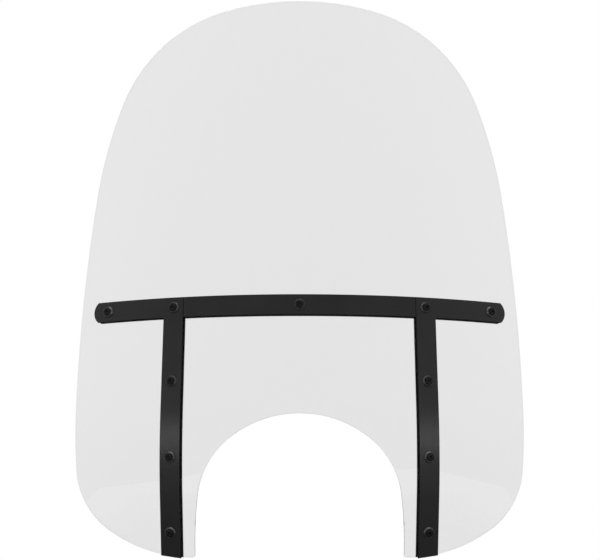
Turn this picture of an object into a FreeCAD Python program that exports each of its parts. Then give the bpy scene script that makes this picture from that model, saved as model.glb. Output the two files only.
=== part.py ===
import FreeCAD, Part
import math
import os
import re
import Sketcher

# A clear motorcycle windshield held between black straps. The sheet is a piece of a cylinder that
# is bent once, just above the headlight. Every strap and gasket is a parallel layer of that sheet.
#
# Working frame: the front of the bend is at the origin, +Z up, the rider at +Y, +X to the right as
# seen from the front. A place on the sheet is a path (distance up the sheet's middle line from the
# bend's centre) and an angle (round the section, from the middle line). At the end every piece is
# moved so that the part's own origin is the middle of the four mounting studs.

Vector = FreeCAD.Vector
document = FreeCAD.newDocument("windshield_screen")

SIZES = [
    ("sheet_thickness", 4.76, "clear sheet"),
    ("section_radius", 600.0, "middle of the sheet, seen from above"),
    ("bend_radius", 260.0, "middle of the sheet, seen from the side"),
    ("upper_lean", 14.0, "the sheet above the bend leans back"),
    ("lower_lean", 8.5, "the sheet below the bend tucks back"),
    ("sheet_high_path", 560.0, "uncut sheet, upper end"),
    ("sheet_low_path", 135.0, "uncut sheet, lower end, below the bend"),
    ("sheet_half_angle", 27.0, "uncut sheet, side edges"),
    ("outline_top", 533.1, "height of the top edge"),
    ("crown_radius", 352.0, "outline arcs, from the top round to the bottom"),
    ("crown_sweep", 14.9, ""),
    ("shoulder_radius", 180.0, ""),
    ("shoulder_sweep", 55.0, ""),
    ("flank_radius", 505.0, ""),
    ("flank_sweep", 13.2, ""),
    ("side_radius", 1836.0, ""),
    ("side_sweep", 9.8, ""),
    ("lobe_radius", 79.0, ""),
    ("lobe_sweep", 55.7, ""),
    ("heel_radius", 166.6, ""),
    ("heel_sweep", 37.5, ""),
    ("cutout_top", 55.5, "height of the headlight cutout"),
    ("brow_radius", 120.7, "cutout arcs, from the top down the side"),
    ("brow_sweep", 38.8, ""),
    ("cheek_radius", 94.4, ""),
    ("cheek_sweep", 43.9, ""),
    ("jaw_radius", 488.0, ""),
    ("jaw_sweep", 8.1, ""),
    ("corner_radius", 3.0, "round where the cutout meets the bottom edge"),
    ("corner_sweep", 80.0, ""),
    ("cutout_drop", 60.0, "the cutout's template runs on below the bottom edge"),
    ("template_depth", 400.0, "thickness of the cutting templates"),
    ("strap_width", 23.0, "flat bar"),
    ("strap_thickness", 2.4, "flat bar"),
    ("gasket_width", 22.0, "sealing strip under each strap"),
    ("gasket_thickness", 0.5, "sealing strip under each strap"),
    ("arm_path", 175.0, "middle line of the crossbar"),
    ("tip_angle", 22.9, "outer end of the crossbar"),
    ("tip_spare", 1.0, "bar beyond its round end, which is cut away"),
    ("tip_radius", 15.0, "round of the crossbar's end"),
    ("leg_angle", 13.45, "middle line of each upright"),
    ("seam_gap", 0.3, "gap between the middle strap and each side strap"),
    ("strap_hole_radius", 2.8, "clearance for the screws"),
    ("sheet_hole_radius", 4.75, "clearance for the bushings"),
    ("drill_length", 60.0, ""),
    ("tip_screw_angle", 21.14, "outermost screw on the crossbar"),
    ("leg_upper_path", 92.5, "screws down each upright"),
    ("leg_middle_path", 7.9, ""),
    ("leg_lower_path", -78.5, ""),
    ("bushing_radius", 4.6, "sleeve in the sheet's hole"),
    ("bushing_bore_radius", 2.7, ""),
    ("bushing_end_gap", 0.05, ""),
    ("cup_radius", 6.4, "cup washer under each screw head"),
    ("cup_edge", 0.5, ""),
    ("cup_rim_radius", 5.2, ""),
    ("cup_well_radius", 4.7, "well round the screw head"),
    ("cup_height", 2.2, ""),
    ("cup_floor", 0.8, ""),
    ("cup_bore_radius", 2.6, ""),
    ("head_radius", 4.25, "low socket head, M5"),
    ("head_height", 2.6, ""),
    ("head_round", 0.6, ""),
    ("socket_flats", 3.0, ""),
    ("socket_depth", 1.7, ""),
    ("core_radius", 2.25, "thread where a nut or the stack covers it"),
    ("stud_radius", 2.5, "thread on the free end of a mounting stud"),
    ("thread_chamfer", 0.5, ""),
    ("short_length", 17.0, "screw under a cap nut, below its head"),
    ("stud_length", 26.0, "mounting stud, below its head"),
    ("rear_gap", 0.1, "a flat washer's clearance over the hollow rear face"),
    ("washer_radius", 5.0, "flat washer, M5"),
    ("washer_bore_radius", 2.65, ""),
    ("washer_thickness", 1.0, ""),
    ("nut_flats", 8.0, "hexagon, M5"),
    ("nut_bore_radius", 2.3, ""),
    ("thin_nut_height", 2.7, ""),
    ("cap_hex_height", 4.0, ""),
    ("cap_height", 9.0, ""),
    ("cap_dome_radius", 3.75, ""),
    ("cap_well_depth", 7.0, ""),
]

sheet = document.addObject("Spreadsheet::Sheet", "sizes")
for row, (alias, number, note) in enumerate(SIZES, start=1):
    sheet.set(f"A{row}", alias)
    sheet.set(f"B{row}", str(number))
    sheet.set(f"C{row}", note)
    sheet.setAlias(f"B{row}", alias)
document.recompute()


def formula(text):
    """The text with each size's name turned into its cell."""
    return re.sub(r"[a-z]+(_[a-z]+)+", r"sizes.\g<0>", text)


def amount(text):
    """The number that a formula of sizes gives."""
    result = sheet.evalExpression(formula(text))
    return float(getattr(result, "Value", result))


def bind(target, prop, text):
    target.setExpression(prop, formula(text))


# ---------------------------------------------------------------- places on the sheet

STACK = "(sheet_thickness / 2 + gasket_thickness + strap_thickness)"
BEND_TOP = "(bend_radius * upper_lean * pi / 180)"
BEND_BOTTOM = "(bend_radius * lower_lean * pi / 180)"


def middle_line(path):
    """The point of the sheet's middle line at a path, and the lean there in radians."""
    bend = amount("bend_radius")
    upper = math.radians(amount("upper_lean"))
    lower = math.radians(amount("lower_lean"))
    lean = min(max(path / bend, -lower), upper)
    straight = path - bend * lean
    along = Vector(0, math.sin(lean), math.cos(lean))
    return Vector(0, bend - bend * math.cos(lean), bend * math.sin(lean)) + along * straight, lean


def on_sheet(path, angle, offset=0.0):
    """A placement on the sheet's middle surface, moved out by offset: local Z points to the
    front, square to the sheet, and local Y up the sheet."""
    point, lean = middle_line(path)
    turn = math.radians(angle)
    up = Vector(0, math.sin(lean), math.cos(lean))
    forward = Vector(0, -math.cos(lean), math.sin(lean))
    normal = Vector(1, 0, 0) * math.sin(turn) + forward * math.cos(turn)
    across = up.cross(normal)
    radius = amount("section_radius")
    place = point - forward * radius + normal * (radius + offset)
    return FreeCAD.Placement(place, FreeCAD.Rotation(across, up, normal, "ZYX"))


def stud_centre():
    """The middle of the four mounting studs, on the rear face of the straps."""
    total = Vector()
    for path in ("leg_middle_path", "leg_lower_path"):
        total += on_sheet(amount(path), amount("leg_angle"), -amount(STACK)).Base
    return Vector(0, total.y / 2, total.z / 2)


HOME = FreeCAD.Placement(-stud_centre(), FreeCAD.Rotation())

# ---------------------------------------------------------------- sketch helpers


def origin_plane(body, role):
    return next(item for item in body.Origin.OriginFeatures if item.Role == role)


def add_sketch(body, name, role):
    sketch = body.newObject("Sketcher::SketchObject", name)
    sketch.AttachmentSupport = (origin_plane(body, role), [""])
    sketch.MapMode = "FlatFace"
    return sketch


def constrain(sketch, *terms, size=None):
    """Add one constraint, and bind it to a formula of sizes if one is given."""
    if size is None:
        sketch.addConstraint(Sketcher.Constraint(*terms))
        return
    value = amount(size)
    if terms[0] == "Angle":
        value = math.radians(value)
    index = sketch.addConstraint(Sketcher.Constraint(*terms, value))
    bind(sketch, f"Constraints[{index}]", size)


def add_spine(body, high, low):
    """The sheet's middle line between two paths: straight, bend, straight."""
    spine = add_sketch(body, "middle_line", "YZ_Plane")

    def flat(path):
        point, _ = middle_line(path)
        return Vector(point.y, point.z, 0)

    bottom, top = -amount(BEND_BOTTOM), amount(BEND_TOP)
    lower = spine.addGeometry(Part.LineSegment(flat(-amount(low)), flat(bottom)))
    bend = spine.addGeometry(Part.Arc(flat(bottom), flat(0.0), flat(top)))
    upper = spine.addGeometry(Part.LineSegment(flat(top), flat(amount(high))))
    # the arc runs counter-clockwise, so its first end is the upper one
    constrain(spine, "PointOnObject", bend, 3, -1)
    constrain(spine, "DistanceX", -1, 1, bend, 3, size="bend_radius")
    constrain(spine, "Radius", bend, size="bend_radius")
    constrain(spine, "DistanceY", -1, 1, bend, 1, size="bend_radius * sin(upper_lean)")
    constrain(spine, "DistanceY", bend, 2, -1, 1, size="bend_radius * sin(lower_lean)")
    constrain(spine, "Tangent", lower, 2, bend, 2)
    constrain(spine, "Tangent", upper, 1, bend, 1)
    constrain(spine, "Distance", lower, size=f"{low} - {BEND_BOTTOM}")
    constrain(spine, "Distance", upper, size=f"{high} - {BEND_TOP}")
    return spine


def add_sector(body, name, inner, outer, first, last):
    """A slice of the section in the body's XY plane: between two offsets from the sheet's middle
    and two angles, with the sketch's origin on the middle line."""
    sketch = add_sketch(body, name, "XY_Plane")
    centre = Vector(0, amount("section_radius"), 0)

    def corner(offset, angle):
        radius = amount(f"section_radius + {offset}")
        turn = math.radians(amount(angle))
        return centre + Vector(math.sin(turn), -math.cos(turn), 0) * radius

    arcs = []
    for offset in (inner, outer):
        circle = Part.Circle(centre, Vector(0, 0, 1), amount(f"section_radius + {offset}"))
        start, end = (math.radians(amount(angle) - 90) for angle in (first, last))
        arcs.append(sketch.addGeometry(Part.ArcOfCircle(circle, start, end)))
        constrain(sketch, "Radius", arcs[-1], size=f"section_radius + {offset}")
    constrain(sketch, "PointOnObject", arcs[0], 3, -2)
    constrain(sketch, "DistanceY", -1, 1, arcs[0], 3, size="section_radius")
    constrain(sketch, "Coincident", arcs[1], 3, arcs[0], 3)
    for angle, end in ((first, 1), (last, 2)):
        edge = sketch.addGeometry(Part.LineSegment(corner(inner, angle), corner(outer, angle)))
        constrain(sketch, "Coincident", edge, 1, arcs[0], end)
        constrain(sketch, "Coincident", edge, 2, arcs[1], end)
        constrain(sketch, "PointOnObject", arcs[0], 3, edge)
        reach = f"(section_radius + {outer}) * sin({angle})"
        constrain(sketch, "DistanceX", -1, 1, edge, 2, size=reach)
    return sketch


def stand_across(sketch, path, lean):
    """Put a section sketch square across the middle line's straight part, at a path from the
    bend's centre. The lean is positive above the bend and negative below it."""
    bend = f"(bend_radius * {lean} * pi / 180)"
    run = f"({path} - {bend})"
    rise = f"bend_radius * sin({lean}) + {run} * cos({lean})"
    back = f"bend_radius * (1 - cos({lean})) + {run} * sin({lean})"
    sketch.AttachmentOffset = FreeCAD.Placement(
        Vector(0, amount(back), amount(rise)), FreeCAD.Rotation(Vector(1, 0, 0), -amount(lean)))
    bind(sketch, "AttachmentOffset.Base.y", back)
    bind(sketch, "AttachmentOffset.Base.z", rise)


def add_arc_chain(sketch, start, side, steps, before=None):
    """Tangent arcs from a point on the vertical axis, down one side (+1 or -1). Each step is a
    radius, a sweep and a turn: 1 turns in towards the middle and -1 turns out.
    Returns the free end: its geometry, its vertex number and its place."""
    point, heading = start, 0.0
    for radius_name, sweep_name, turn in steps:
        radius, sweep = amount(radius_name), math.radians(amount(sweep_name))
        outward = Vector(side * math.sin(heading), math.cos(heading), 0) * turn
        centre = point - outward * radius
        first = math.atan2(outward.y, outward.x)
        last = first - side * turn * sweep
        circle = Part.Circle(centre, Vector(0, 0, 1), radius)
        arc = sketch.addGeometry(Part.ArcOfCircle(circle, min(first, last), max(first, last)))
        near, far = (2, 1) if side * turn > 0 else (1, 2)
        constrain(sketch, "Radius", arc, size=radius_name)
        constrain(sketch, "Angle", arc, size=sweep_name)
        if before is not None:
            constrain(sketch, "Tangent", before[0], before[1], arc, near)
        before = (arc, far)
        heading += turn * sweep
        outward = Vector(side * math.sin(heading), math.cos(heading), 0) * turn
        point = centre + outward * radius
    return before, point


def add_template(name, top, steps, drop=None):
    """A symmetric closed outline, standing in the XZ plane and as thick as the templates are. A
    drop is how far its sides run on straight down after the arcs."""
    sketch = document.addObject("Sketcher::SketchObject", name + "_outline")
    sketch.Placement = FreeCAD.Placement(Vector(), FreeCAD.Rotation(Vector(1, 0, 0), 90))
    start = Vector(0, amount(top), 0)
    right, right_point = add_arc_chain(sketch, start, 1, steps)
    first_arc = 0
    constrain(sketch, "PointOnObject", first_arc, 3, -2)
    constrain(sketch, "PointOnObject", first_arc, 2, -2)
    constrain(sketch, "DistanceY", -1, 1, first_arc, 2, size=top)
    left, left_point = add_arc_chain(sketch, start, -1, steps, before=(first_arc, 2))
    ends = [(right, right_point), (left, left_point)]
    if drop:
        for place, (end, point) in enumerate(ends):
            low = point + Vector(0, -amount(drop), 0)
            line = sketch.addGeometry(Part.LineSegment(point, low))
            constrain(sketch, "Coincident", line, 1, *end)
            constrain(sketch, "Vertical", line)
            constrain(sketch, "DistanceY", line, 2, line, 1, size=drop)
            ends[place] = ((line, 2), low)
    (right, right_point), (left, left_point) = ends
    line = sketch.addGeometry(Part.LineSegment(right_point, left_point))
    constrain(sketch, "Coincident", line, 1, *right)
    constrain(sketch, "Coincident", line, 2, *left)
    template = document.addObject("Part::Extrusion", name)
    template.Base = sketch
    template.DirMode = "Normal"
    template.Symmetric = True
    template.Solid = True
    bind(template, "LengthFwd", "template_depth")
    return template


# ---------------------------------------------------------------- tools that cut several pieces

OUTLINE = [("crown_radius", "crown_sweep", 1), ("shoulder_radius", "shoulder_sweep", 1),
           ("flank_radius", "flank_sweep", 1), ("side_radius", "side_sweep", 1),
           ("lobe_radius", "lobe_sweep", 1), ("heel_radius", "heel_sweep", 1)]
CUTOUT = [("brow_radius", "brow_sweep", 1), ("cheek_radius", "cheek_sweep", 1),
          ("jaw_radius", "jaw_sweep", 1), ("corner_radius", "corner_sweep", -1)]

outline_template = add_template("outline_template", "outline_top", OUTLINE)
cutout_template = add_template("cutout_template", "cutout_top", CUTOUT, "cutout_drop")

# name of the place, path, angle, and whether a mounting stud stands there
SCREWS = [
    ("center", "arm_path", 0, False),
    ("corner", "arm_path", "leg_angle", False),
    ("tip", "arm_path", "tip_screw_angle", False),
    ("leg_upper", "leg_upper_path", "leg_angle", False),
    ("leg_middle", "leg_middle_path", "leg_angle", True),
    ("leg_lower", "leg_lower_path", "leg_angle", True),
]


def screw_places(side):
    """(name, placement, stud?) for the screws on one side: -1, 0 or 1."""
    places = []
    for name, path, angle, stud in SCREWS:
        if (name == "center") == (side == 0):
            turn = side * amount(angle) if side else 0.0
            places.append((name, on_sheet(amount(path), turn), stud))
    return places


def add_drills(name, side, radius):
    drills = []
    for place_name, placement, _ in screw_places(side):
        drill = document.addObject("Part::Cylinder", f"{name}_{place_name}")
        bind(drill, "Radius", radius)
        bind(drill, "Height", "drill_length")
        drill.Placement = placement * FreeCAD.Placement(
            Vector(0, 0, -amount("drill_length") / 2), FreeCAD.Rotation())
        drills.append(drill)
    return drills


def add_tip_cutter():
    """What is cut off to leave the crossbar's end round: a block less a cylinder."""
    block = document.addObject("Part::Box", "tip_block")
    round_end = document.addObject("Part::Cylinder", "tip_round")
    cutter = document.addObject("Part::Cut", "tip_cutter")
    size = amount("drill_length")
    angle = "(tip_angle - tip_radius / section_radius * 180 / pi)"
    middle = on_sheet(amount("arm_path"), amount(angle))
    no_turn = FreeCAD.Rotation()
    block.Placement = middle * FreeCAD.Placement(Vector(0, -size / 2, -size / 2), no_turn)
    round_end.Placement = middle * FreeCAD.Placement(Vector(0, 0, -size / 2), no_turn)
    for prop in ("Length", "Width", "Height"):
        bind(block, prop, "drill_length")
    bind(round_end, "Height", "drill_length")
    bind(round_end, "Radius", "tip_radius")
    cutter.Base, cutter.Tool = block, round_end
    return cutter


def add_compound(name, items):
    compound = document.addObject("Part::Compound", name)
    compound.Links = items
    return compound


tip_cutter = add_tip_cutter()
middle_cuts = add_compound("middle_cuts", add_drills("middle_drill", 0, "strap_hole_radius"))
side_cuts = add_compound(
    "side_cuts", add_drills("side_drill", 1, "strap_hole_radius") + [tip_cutter])
sheet_drills = [drill for side in (-1, 0, 1)
                for drill in add_drills(f"sheet_drill_{side + 1}", side, "sheet_hole_radius")]
sheet_cuts = add_compound("sheet_cuts", sheet_drills + [cutout_template])

# ---------------------------------------------------------------- the clear sheet

pieces = []


def keep(piece, label, placement=HOME):
    piece.Label = label
    piece.Placement = placement
    pieces.append(piece)
    return piece


def boolean(kind, name, base, tool):
    result = document.addObject(kind, name)
    result.Base, result.Tool = base, tool
    return result


def add_windshield():
    body = document.addObject("PartDesign::Body", "uncut_sheet")
    half = "sheet_thickness / 2"
    section = add_sector(body, "section", f"(-{half})", half,
                         "(-sheet_half_angle)", "sheet_half_angle")
    stand_across(section, "(-sheet_low_path)", "(-lower_lean)")
    sweep = body.newObject("PartDesign::AdditivePipe", "bent_sheet")
    sweep.Profile = section
    sweep.Spine = (add_spine(body, "sheet_high_path", "sheet_low_path"),
                   ["Edge1", "Edge2", "Edge3"])
    sweep.Mode = "Standard"
    blank = boolean("Part::Common", "windshield_blank", body, outline_template)
    keep(boolean("Part::Cut", "windshield_cut", blank, sheet_cuts), "windshield")


add_windshield()

# ---------------------------------------------------------------- straps and gaskets

LEG_IN = "(leg_angle - {width} / 2 / section_radius * 180 / pi)"
LEG_OUT = "(leg_angle + {width} / 2 / section_radius * 180 / pi)"


def add_crossbar(body, layer, width, first, last):
    """A straight bar bent round the section: one slice, as long as the bar is wide."""
    section = add_sector(body, "crossbar_section", *layer, first, last)
    stand_across(section, f"(arm_path - {width} / 2)", "upper_lean")
    bar = body.newObject("PartDesign::Pad", "crossbar")
    bar.Profile = section
    bind(bar, "Length", width)


def add_side_piece(name, layer, width):
    """One upright and its outer half of the crossbar in one piece, and its mirror image."""
    leg_in, leg_out = LEG_IN.format(width=width), LEG_OUT.format(width=width)
    body = document.addObject("PartDesign::Body", f"{name}_blank")
    section = add_sector(body, "upright_section", *layer, leg_in, leg_out)
    stand_across(section, "(-sheet_low_path)", "(-lower_lean)")
    upright = body.newObject("PartDesign::AdditivePipe", "upright")
    upright.Profile = section
    upright.Spine = (add_spine(body, f"(arm_path + {width} / 2)", "sheet_low_path"),
                     ["Edge1", "Edge2", "Edge3"])
    upright.Mode = "Standard"
    add_crossbar(body, layer, width, leg_in, "(tip_angle + tip_spare)")
    trimmed = boolean("Part::Common", f"{name}_trimmed", body, outline_template)
    right = boolean("Part::Cut", f"{name}_drilled", trimmed, side_cuts)
    keep(right, f"{name}_right")
    left = document.addObject("Part::Mirroring", f"{name}_mirrored")
    left.Source = right
    left.Normal = Vector(1, 0, 0)
    left.Label = f"{name}_left"
    pieces.append(left)


def add_middle_piece(name, layer, width):
    """The middle of the crossbar, between the two side pieces."""
    body = document.addObject("PartDesign::Body", f"{name}_blank")
    inner_edge = LEG_IN.format(width="strap_width")
    last = f"({inner_edge} - seam_gap / section_radius * 180 / pi)"
    add_crossbar(body, layer, width, f"(-{last})", last)
    drilled = boolean("Part::Cut", f"{name}_drilled", body, middle_cuts)
    keep(drilled, f"{name}_center")


SHEET_FACE = "(sheet_thickness / 2)"
GASKET_FACE = "(sheet_thickness / 2 + gasket_thickness)"
LAYERS = [
    ("front_gasket", (SHEET_FACE, GASKET_FACE), "gasket_width"),
    ("front_strap", (GASKET_FACE, STACK), "strap_width"),
    ("rear_gasket", (f"(-{GASKET_FACE})", f"(-{SHEET_FACE})"), "gasket_width"),
    ("rear_strap", (f"(-{STACK})", f"(-{GASKET_FACE})"), "strap_width"),
]
for layer_name, offsets, width_name in LAYERS:
    add_side_piece(layer_name, offsets, width_name)
    add_middle_piece(layer_name, offsets, width_name)

# ---------------------------------------------------------------- fasteners
# Each fastener's own Z runs along the screw, with zero in the middle of the sheet and the screw's
# head at the top.


def add_turned(body, name, profile):
    """A round piece turned from a closed half profile of (radius, height) formulas."""
    sketch = add_sketch(body, name, "XZ_Plane")
    points = [Vector(amount(radius), amount(height), 0) for radius, height in profile]
    count = len(points)
    for index, point in enumerate(points):
        sketch.addGeometry(Part.LineSegment(point, points[(index + 1) % count]))
    for index, (radius, height) in enumerate(profile):
        constrain(sketch, "Coincident", index - 1 if index else count - 1, 2, index, 1)
        if radius == "0":
            constrain(sketch, "PointOnObject", index, 1, -2)
        else:
            constrain(sketch, "DistanceX", -1, 1, index, 1, size=radius)
        constrain(sketch, "DistanceY", -1, 1, index, 1, size=height)
    turned = body.newObject("PartDesign::Revolution", f"{name}_turned")
    turned.Profile = sketch
    turned.ReferenceAxis = (sketch, ["V_Axis"])
    turned.Angle = 360
    return turned


def add_hexagon(body, kind, name, flats, bottom, height):
    prism = body.newObject(f"PartDesign::{kind}Prism", name)
    prism.AttachmentSupport = (origin_plane(body, "XY_Plane"), [""])
    prism.MapMode = "FlatFace"
    prism.AttachmentOffset = FreeCAD.Placement(Vector(0, 0, amount(bottom)), FreeCAD.Rotation())
    bind(prism, "AttachmentOffset.Base.z", bottom)
    prism.Polygon = 6
    bind(prism, "Circumradius", f"{flats} / 2 / cos(30)")
    bind(prism, "Height", height)
    return prism


SEAT = f"({STACK} + cup_floor)"
HEAD_TOP = f"({SEAT} + head_height)"
NUT_FACE = f"({STACK} + rear_gap + washer_thickness)"


def add_screw(label, placement, stud):
    body = document.addObject("PartDesign::Body", label)
    profile = [("0", HEAD_TOP), ("(head_radius - head_round)", HEAD_TOP),
               ("head_radius", f"({HEAD_TOP} - head_round)"), ("head_radius", SEAT),
               ("core_radius", SEAT)]
    if stud:
        free_end = f"(-{NUT_FACE} - thin_nut_height - rear_gap)"
        tip = f"({SEAT} - stud_length)"
        profile += [("core_radius", free_end), ("stud_radius", free_end)]
        thread = "stud_radius"
    else:
        tip = f"({SEAT} - short_length)"
        thread = "core_radius"
    profile += [(thread, f"({tip} + thread_chamfer)"), (f"({thread} - thread_chamfer)", tip),
                ("0", tip)]
    solid = add_turned(body, "shape", profile)
    socket = add_hexagon(body, "Subtractive", "socket", "socket_flats",
                         f"({HEAD_TOP} - socket_depth)", "socket_depth")
    checks.append((label, solid, socket))
    keep(body, label, HOME * placement)


def add_cup_washer(label, placement):
    body = document.addObject("PartDesign::Body", label)
    heights = [STACK, f"({STACK} + cup_edge)", f"({STACK} + cup_height)", SEAT]
    bottom, edge, rim, floor = heights
    add_turned(body, "shape", [
        ("cup_bore_radius", bottom), ("cup_radius", bottom), ("cup_radius", edge),
        ("cup_rim_radius", rim), ("cup_well_radius", rim), ("cup_well_radius", floor),
        ("cup_bore_radius", floor)])
    keep(body, label, HOME * placement)


def add_thin_nut(label, placement):
    body = document.addObject("PartDesign::Body", label)
    outer_face = f"(-{NUT_FACE} - thin_nut_height)"
    solid = add_hexagon(body, "Additive", "hexagon", "nut_flats", outer_face, "thin_nut_height")
    bore = body.newObject("PartDesign::SubtractiveCylinder", "bore")
    bind(bore, "Radius", "nut_bore_radius")
    bind(bore, "Height", "drill_length")
    bore.AttachmentSupport = (origin_plane(body, "XY_Plane"), [""])
    bore.MapMode = "FlatFace"
    bore.AttachmentOffset = FreeCAD.Placement(
        Vector(0, 0, -amount("drill_length") / 2), FreeCAD.Rotation())
    checks.append((label, solid, bore))
    keep(body, label, HOME * placement)


def add_cap_nut(label, placement):
    body = document.addObject("PartDesign::Body", label)
    shoulder = f"(-{NUT_FACE} - cap_hex_height)"
    add_hexagon(body, "Additive", "hexagon", "nut_flats", shoulder, "cap_hex_height")
    solid = add_dome(body, shoulder)
    bore = body.newObject("PartDesign::SubtractiveCylinder", "bore")
    bottom = f"(-{NUT_FACE} - cap_well_depth)"
    bind(bore, "Radius", "nut_bore_radius")
    bind(bore, "Height", "cap_well_depth")
    bore.AttachmentSupport = (origin_plane(body, "XY_Plane"), [""])
    bore.MapMode = "FlatFace"
    bore.AttachmentOffset = FreeCAD.Placement(Vector(0, 0, amount(bottom)), FreeCAD.Rotation())
    checks.append((label, solid, bore))
    keep(body, label, HOME * placement)


def add_dome(body, shoulder):
    """A short collar with a half ball on it, turned from a quarter circle."""
    sketch = add_sketch(body, "dome_profile", "XZ_Plane")
    radius = amount("cap_dome_radius")
    base = amount(shoulder)
    spring = amount(f"(-{NUT_FACE} - cap_height + cap_dome_radius)")
    bottom = Vector(0, spring - radius, 0)
    side = Vector(radius, spring, 0)
    arc = sketch.addGeometry(Part.ArcOfCircle(
        Part.Circle(Vector(0, spring, 0), Vector(0, 0, 1), radius), -math.pi / 2, 0))
    collar = sketch.addGeometry(Part.LineSegment(side, Vector(radius, base, 0)))
    top = sketch.addGeometry(Part.LineSegment(Vector(radius, base, 0), Vector(0, base, 0)))
    axis = sketch.addGeometry(Part.LineSegment(Vector(0, base, 0), bottom))
    constrain(sketch, "Coincident", arc, 2, collar, 1)
    constrain(sketch, "Coincident", collar, 2, top, 1)
    constrain(sketch, "Coincident", top, 2, axis, 1)
    constrain(sketch, "Coincident", axis, 2, arc, 1)
    constrain(sketch, "PointOnObject", arc, 3, -2)
    constrain(sketch, "PointOnObject", arc, 1, -2)
    constrain(sketch, "PointOnObject", axis, 1, -2)
    constrain(sketch, "Vertical", collar)
    constrain(sketch, "Horizontal", top)
    constrain(sketch, "Radius", arc, size="cap_dome_radius")
    constrain(sketch, "DistanceY", -1, 1, axis, 1, size=shoulder)
    constrain(sketch, "DistanceY", -1, 1, arc, 3,
              size=f"(-{NUT_FACE} - cap_height + cap_dome_radius)")
    dome = body.newObject("PartDesign::Revolution", "dome")
    dome.Profile = sketch
    dome.ReferenceAxis = (sketch, ["V_Axis"])
    dome.Angle = 360
    return dome


def add_ring(name, placement, bore, radius, low, high):
    body = document.addObject("PartDesign::Body", name)
    add_turned(body, "shape", [(bore, low), (radius, low), (radius, high), (bore, high)])
    body.Placement = placement
    return body


def add_rings(kind, side_name, side, bore, radius, low, high):
    """Identical rings of one side, as one group of separate solids."""
    rings = [add_ring(f"{kind}_{side_name}_{place_name}", placement, bore, radius, low, high)
             for place_name, placement, _ in screw_places(side)]
    keep(add_compound(f"{kind}_group_{side_name}", rings), f"{kind}_{side_name}")


checks = []
for side, side_name in ((-1, "left"), (0, "center"), (1, "right")):
    for place_name, placement, stud in screw_places(side):
        where = f"{place_name}_{side_name}" if side else place_name
        add_screw(f"screw_{where}", placement, stud)
        add_cup_washer(f"cup_washer_{where}", placement)
        if stud:
            add_thin_nut(f"thin_nut_{where}", placement)
        else:
            add_cap_nut(f"cap_nut_{where}", placement)
    half_sleeve = "(sheet_thickness / 2 - bushing_end_gap)"
    add_rings("hole_bushings", side_name, side, "bushing_bore_radius", "bushing_radius",
              f"(-{half_sleeve})", half_sleeve)
    add_rings("rear_washers", side_name, side, "washer_bore_radius", "washer_radius",
              f"(-{NUT_FACE})", f"(-{NUT_FACE} + washer_thickness)")

# ---------------------------------------------------------------- check and write

document.recompute()
for item in document.Objects:
    if "Invalid" in item.State or "Error" in item.State:
        raise RuntimeError(f"{item.Label} failed: {item.State}")
least_cut = 1.0  # mm3, less than any socket or bore takes away
for label, before, after in checks:
    if after.Shape.Volume > before.Shape.Volume - least_cut:
        raise RuntimeError(f"{label}: {after.Label} cuts nothing")

os.makedirs("parts", exist_ok=True)
for piece in pieces:
    if piece.Shape.isNull() or not piece.Shape.isValid():
        raise RuntimeError(f"{piece.Label} has no valid shape")
    piece.Shape.exportStep(f"parts/{piece.Label}.step")
    print(f"{piece.Label}: {len(piece.Shape.Solids)} solids, {piece.Shape.Volume:.0f} mm3")
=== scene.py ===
import math
from bisect import bisect

import bmesh
import bpy
from mathutils import Matrix, Vector
from mathutils.geometry import tessellate_polygon


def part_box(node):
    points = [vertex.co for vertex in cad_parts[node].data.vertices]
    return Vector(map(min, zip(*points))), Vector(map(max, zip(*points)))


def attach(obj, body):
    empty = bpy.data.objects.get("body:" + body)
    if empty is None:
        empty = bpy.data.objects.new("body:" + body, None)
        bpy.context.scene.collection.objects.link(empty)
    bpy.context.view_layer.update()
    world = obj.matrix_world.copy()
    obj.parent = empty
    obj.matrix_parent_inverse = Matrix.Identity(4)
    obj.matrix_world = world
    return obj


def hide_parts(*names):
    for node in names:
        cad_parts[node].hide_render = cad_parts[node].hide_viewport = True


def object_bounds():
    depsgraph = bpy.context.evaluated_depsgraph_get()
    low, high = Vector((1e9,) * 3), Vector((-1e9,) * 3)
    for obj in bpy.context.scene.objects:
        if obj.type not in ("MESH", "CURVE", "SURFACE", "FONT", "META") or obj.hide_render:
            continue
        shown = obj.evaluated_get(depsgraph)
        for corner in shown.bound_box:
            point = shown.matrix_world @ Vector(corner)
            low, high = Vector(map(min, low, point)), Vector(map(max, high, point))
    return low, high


# A clear motorcycle windshield clamped between black straps, made as flat plates that are bent
# onto the same surface as the CAD model: a piece of a cylinder with one bend above the headlight.
# Lengths are in metres. The working frame of the shape has the front of the bend at its origin;
# HOME moves it to the part's own origin, the middle of the four mounting studs.

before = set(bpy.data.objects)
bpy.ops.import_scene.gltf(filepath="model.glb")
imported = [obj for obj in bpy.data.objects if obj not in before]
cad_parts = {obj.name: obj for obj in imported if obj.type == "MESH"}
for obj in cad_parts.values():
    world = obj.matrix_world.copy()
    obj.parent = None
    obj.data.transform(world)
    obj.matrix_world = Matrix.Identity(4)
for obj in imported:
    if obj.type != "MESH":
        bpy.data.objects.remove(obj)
cad_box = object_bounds()

MM = 0.001

# ---------------------------------------------------------------- the bent surface

SHEET = 4.76 * MM
SECTION_RADIUS = 600 * MM
BEND_RADIUS = 260 * MM
UPPER_LEAN = math.radians(14)
LOWER_LEAN = math.radians(8.5)
STRAP_WIDTH = 23 * MM
STRAP = 2.4 * MM
GASKET_WIDTH = 22 * MM
GASKET = 0.5 * MM
# from the sheet's middle to its own face, to the gasket's face and to the strap's face
FACE = SHEET / 2
SEAM_FACE = FACE + GASKET
STACK = SEAM_FACE + STRAP

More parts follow.
